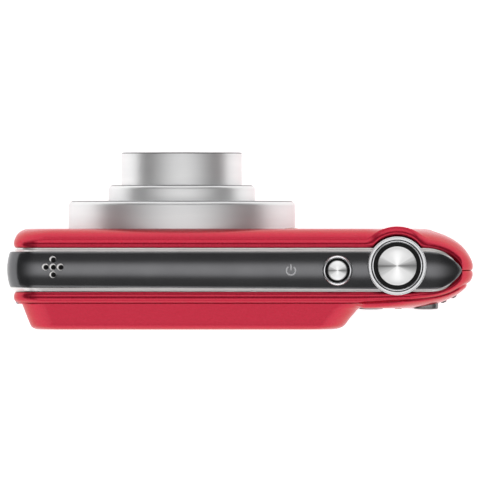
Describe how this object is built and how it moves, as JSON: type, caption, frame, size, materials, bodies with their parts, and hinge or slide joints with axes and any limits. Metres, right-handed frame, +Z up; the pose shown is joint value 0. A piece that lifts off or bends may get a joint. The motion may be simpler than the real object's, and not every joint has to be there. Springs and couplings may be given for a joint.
{
  "type": "compact digital camera",
  "caption": "Compact digital camera with a telescoping zoom lens, red metal shells, a dark wrap-around top band, a raised rear screen and a hinged battery door.",
  "frame": {"origin": "centre of the tripod socket's mouth, in the plane of the base that the camera stands on", "axes": "+Z up through the top controls; -Y is the way the lens looks; +X runs along the body away from the shutter button"},
  "size_m": [0.096, 0.0365, 0.0592],
  "materials": {
    "red_paint": "metallic red lacquer, glossy",
    "band_metal": "dark satin",
    "frame_silver": "satin silver",
    "base_dark": "fine matt",
    "screw_steel": "bright",
    "bush_brass": "machined",
    "rubber_black": "matt",
    "bezel_chrome": "bright",
    "button_metal": "spun",
    "spring_steel": "wire",
    "circuit_board": "solder mask",
    "black_plastic": "matt",
    "flash_diffuser": "clear, ribbed",
    "flash_reflector": "mirror",
    "capacitor_sleeve": "shrink sleeve",
    "amber_plastic": "clear amber",
    "lens_metal": "satin anodised",
    "cam_metal": "machined",
    "motor_can": "drawn",
    "bezel_black": "matt",
    "lens_glass": "coated",
    "sensor_glass": "gloss",
    "screen_module": "panel in a metal tray",
    "screen_window": "polished",
    "ribbon_film": "film",
    "battery_wrap": "satin wrap",
    "key_chrome": "plated"
  },
  "bodies": {
    "camera_body": {"front_shell": "red_paint", "rear_shell": "red_paint", "top_band": "band_metal", "mid_frame": "frame_silver", "base_plate": "base_dark", "door_pin": "screw_steel", "tripod_bush": "bush_brass", "case_screws": "screw_steel", "strap_lug": "screw_steel", "thumb_grips": "rubber_black", "usb_socket": "screw_steel", "shutter_bezel": "bezel_chrome", "shutter_spring": "spring_steel", "power_bezel": "bezel_chrome", "power_spring": "spring_steel", "top_board": "circuit_board", "speaker": "black_plastic", "microphone": "black_plastic", "flash_window": "flash_diffuser", "flash_unit": "flash_reflector", "flash_capacitor": "capacitor_sleeve", "af_lamp": "amber_plastic", "lens_base_ring": "lens_metal", "lens_guide_tube": "black_plastic", "zoom_motor": "motor_can", "focus_drive": "motor_can", "image_sensor": "sensor_glass", "sensor_board": "circuit_board", "main_board": "circuit_board", "key_board": "circuit_board", "lcd_module": "screen_module", "lcd_window": "screen_window", "lcd_ribbon": "ribbon_film", "battery": "battery_wrap", "battery_tray": "black_plastic", "sd_socket": "screw_steel", "status_led": "amber_plastic"},
    "battery_door": {"battery_door": "base_dark"},
    "door_latch": {"door_latch": "base_dark"},
    "port_cover": {"port_cover": "band_metal"},
    "shutter_button": {"shutter_button": "button_metal"},
    "power_button": {"power_button": "button_metal"},
    "cam_ring": {"cam_ring": "cam_metal"},
    "zoom_pinion": {"zoom_pinion": "bush_brass"},
    "outer_barrel": {"outer_barrel": "lens_metal", "middle_lens": "lens_glass"},
    "inner_barrel": {"inner_barrel": "lens_metal", "lens_bezel": "bezel_black", "front_lens": "lens_glass"},
    "barrier_upper": {"barrier_blade_upper": "bezel_black"},
    "barrier_lower": {"barrier_blade_lower": "bezel_black"},
    "focus_carriage": {"focus_carrier": "black_plastic", "focus_lens": "lens_glass"},
    "wide_key": {"wide_key": "key_chrome"},
    "tele_key": {"tele_key": "key_chrome"},
    "menu_key": {"menu_key": "key_chrome"},
    "delete_key": {"delete_key": "key_chrome"},
    "ok_key": {"ok_key": "key_chrome"},
    "dpad_pivot": {"dpad_rubber": "rubber_black"},
    "dpad": {"dpad": "key_chrome"}
  },
  "joints": [
    {"name": "zoom_turn", "type": "hinge", "parent": "camera_body", "child": "cam_ring", "pos_m": [0.0121, 0, 0.028], "axis": [0, -1, 0], "range_deg": [0, 60]},
    {"name": "outer_barrel_slide", "type": "slide", "parent": "camera_body", "child": "outer_barrel", "axis": [0, 1, 0], "range_m": [0, 0.0032]},
    {"name": "inner_barrel_slide", "type": "slide", "parent": "outer_barrel", "child": "inner_barrel", "axis": [0, 1, 0], "range_m": [0, 0.0062]},
    {"name": "zoom_pinion_spin", "type": "hinge", "parent": "camera_body", "child": "zoom_pinion", "pos_m": [0.02709, 0, 0.04299], "axis": [0, -1, 0], "range_deg": [-470, 0]},
    {"name": "barrier_upper_slide", "type": "slide", "parent": "inner_barrel", "child": "barrier_upper", "axis": [0, 0, -1], "range_m": [0, 0.00555]},
    {"name": "barrier_lower_slide", "type": "slide", "parent": "inner_barrel", "child": "barrier_lower", "axis": [0, 0, 1], "range_m": [0, 0.00555]},
    {"name": "focus_slide", "type": "slide", "parent": "camera_body", "child": "focus_carriage", "axis": [0, 1, 0], "range_m": [-0.0012, 0.0012]},
    {"name": "shutter_press", "type": "slide", "parent": "camera_body", "child": "shutter_button", "axis": [0, 0, -1], "range_m": [0, 0.0005], "stiffness_N_per_m": 300, "springref_m": -0.0005, "deforming": ["shutter_spring"]},
    {"name": "power_press", "type": "slide", "parent": "camera_body", "child": "power_button", "axis": [0, 0, -1], "range_m": [0, 0.0003], "stiffness_N_per_m": 300, "springref_m": -0.0005, "deforming": ["power_spring"]},
    {"name": "wide_key_press", "type": "slide", "parent": "camera_body", "child": "wide_key", "axis": [0, -1, 0], "range_m": [0, 0.0004], "stiffness_N_per_m": 300, "springref_m": -0.0005},
    {"name": "tele_key_press", "type": "slide", "parent": "camera_body", "child": "tele_key", "axis": [0, -1, 0], "range_m": [0, 0.0004], "stiffness_N_per_m": 300, "springref_m": -0.0005},
    {"name": "menu_key_press", "type": "slide", "parent": "camera_body", "child": "menu_key", "axis": [0, -1, 0], "range_m": [0, 0.0004], "stiffness_N_per_m": 300, "springref_m": -0.0005},
    {"name": "delete_key_press", "type": "slide", "parent": "camera_body", "child": "delete_key", "axis": [0, -1, 0], "range_m": [0, 0.0004], "stiffness_N_per_m": 300, "springref_m": -0.0005},
    {"name": "ok_key_press", "type": "slide", "parent": "camera_body", "child": "ok_key", "axis": [0, -1, 0], "range_m": [0, 0.0004], "stiffness_N_per_m": 300, "springref_m": -0.0005},
    {"name": "dpad_up_down", "type": "hinge", "parent": "camera_body", "child": "dpad_pivot", "pos_m": [-0.0325, 0.00572, 0.0295], "axis": [1, 0, 0], "range_deg": [-2.5, 2.5], "stiffness_Nm_per_rad": 0.3},
    {"name": "dpad_left_right", "type": "hinge", "parent": "dpad_pivot", "child": "dpad", "pos_m": [-0.0325, 0.00572, 0.0295], "axis": [0, 0, 1], "range_deg": [-2.5, 2.5], "stiffness_Nm_per_rad": 0.3},
    {"name": "battery_door_hinge", "type": "hinge", "parent": "camera_body", "child": "battery_door", "pos_m": [0, 0.00475, 0.00066], "axis": [1, 0, 0], "range_deg": [0, 95]},
    {"name": "door_latch_slide", "type": "slide", "parent": "battery_door", "child": "door_latch", "axis": [1, 0, 0], "range_m": [0, 0.0015]},
    {"name": "port_cover_hinge", "type": "hinge", "parent": "camera_body", "child": "port_cover", "pos_m": [0.04745, 0, 0.0126], "axis": [0, 1, 0], "range_deg": [0, 95]}
  ],
  "couplings": [
    {"joint": "inner_barrel_slide", "follows": "outer_barrel_slide", "ratio": 1.937},
    {"joint": "zoom_turn", "follows": "outer_barrel_slide", "rad_per_m": 327.2},
    {"joint": "zoom_pinion_spin", "follows": "outer_barrel_slide", "rad_per_m": -2563.1},
    {"joint": "barrier_upper_slide", "follows": "outer_barrel_slide", "ratio": 1.734},
    {"joint": "barrier_lower_slide", "follows": "outer_barrel_slide", "ratio": 1.734}
  ]
}
